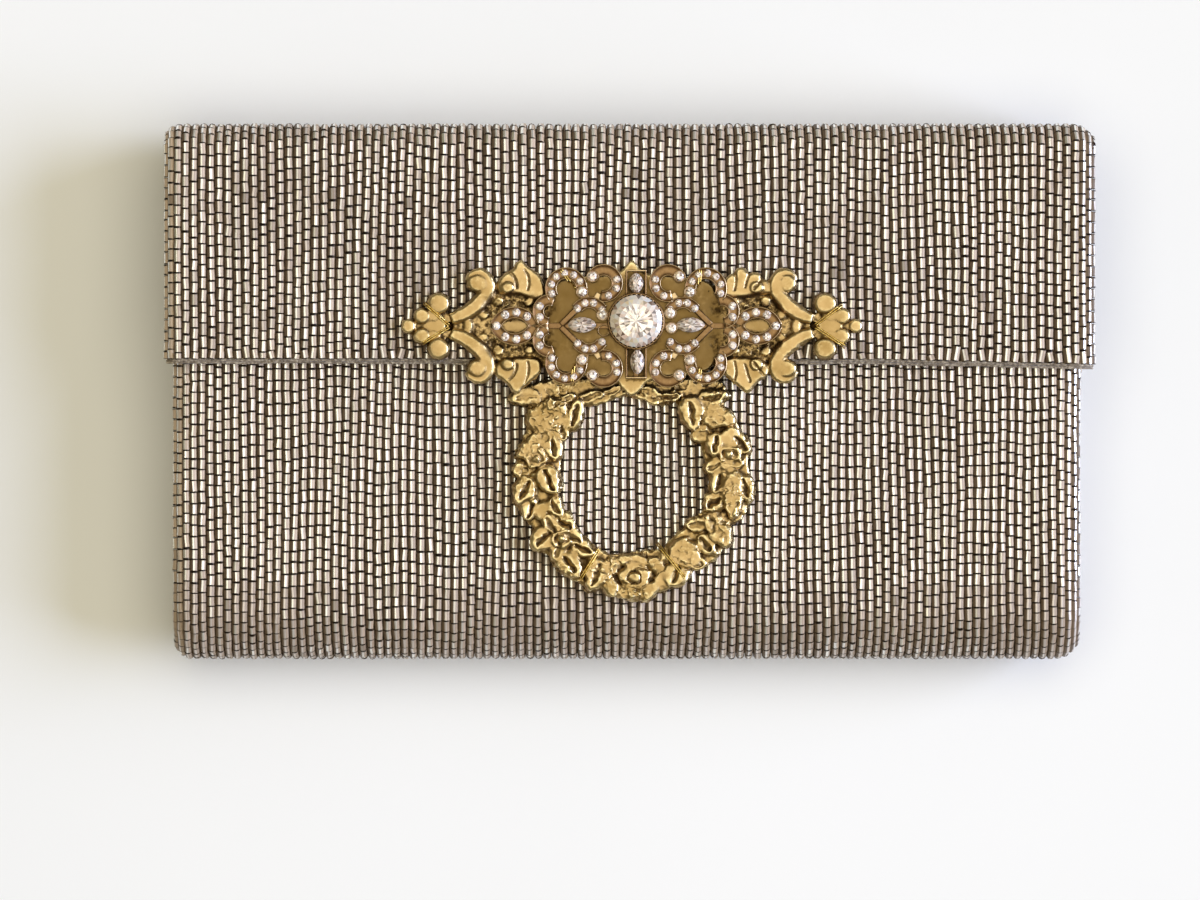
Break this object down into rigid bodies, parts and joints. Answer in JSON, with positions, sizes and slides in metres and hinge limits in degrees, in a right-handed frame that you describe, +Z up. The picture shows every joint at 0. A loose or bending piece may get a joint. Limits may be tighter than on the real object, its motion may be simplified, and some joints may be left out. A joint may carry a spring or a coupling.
{
  "type": "clutch bag",
  "caption": "Fold-over evening clutch of beaded cloth with folded side gussets, a cast brass crest carrying a jewelled frame on the flap, and a brass leaf wreath below it.",
  "frame": {"origin": "on the surface that the bag lies on, under the middle of its box", "axes": "+X along the bag's width, +Y from the bottom fold to the top fold, +Z up from the back to the flap"},
  "size_m": [0.2246, 0.1294, 0.0388],
  "materials": {
    "beaded_cloth": "cloth sewn all over with silver-lined brown glass bugle beads",
    "gusset_cloth": "plain matte brown cloth",
    "brass": "cast and polished, with dark patina in the hollows",
    "rose_gold": "warm gold plate, aged",
    "crystal": "clear faceted glass"
  },
  "bodies": {
    "root": {"beaded_panel": "beaded_cloth", "gusset_left": "gusset_cloth", "gusset_right": "gusset_cloth", "crest": "brass", "wreath": "brass", "jewel_frame": "rose_gold", "centre_stone": "crystal", "upper_stone": "crystal", "lower_stone": "crystal", "left_stone": "crystal", "right_stone": "crystal"}
  },
  "joints": []
}
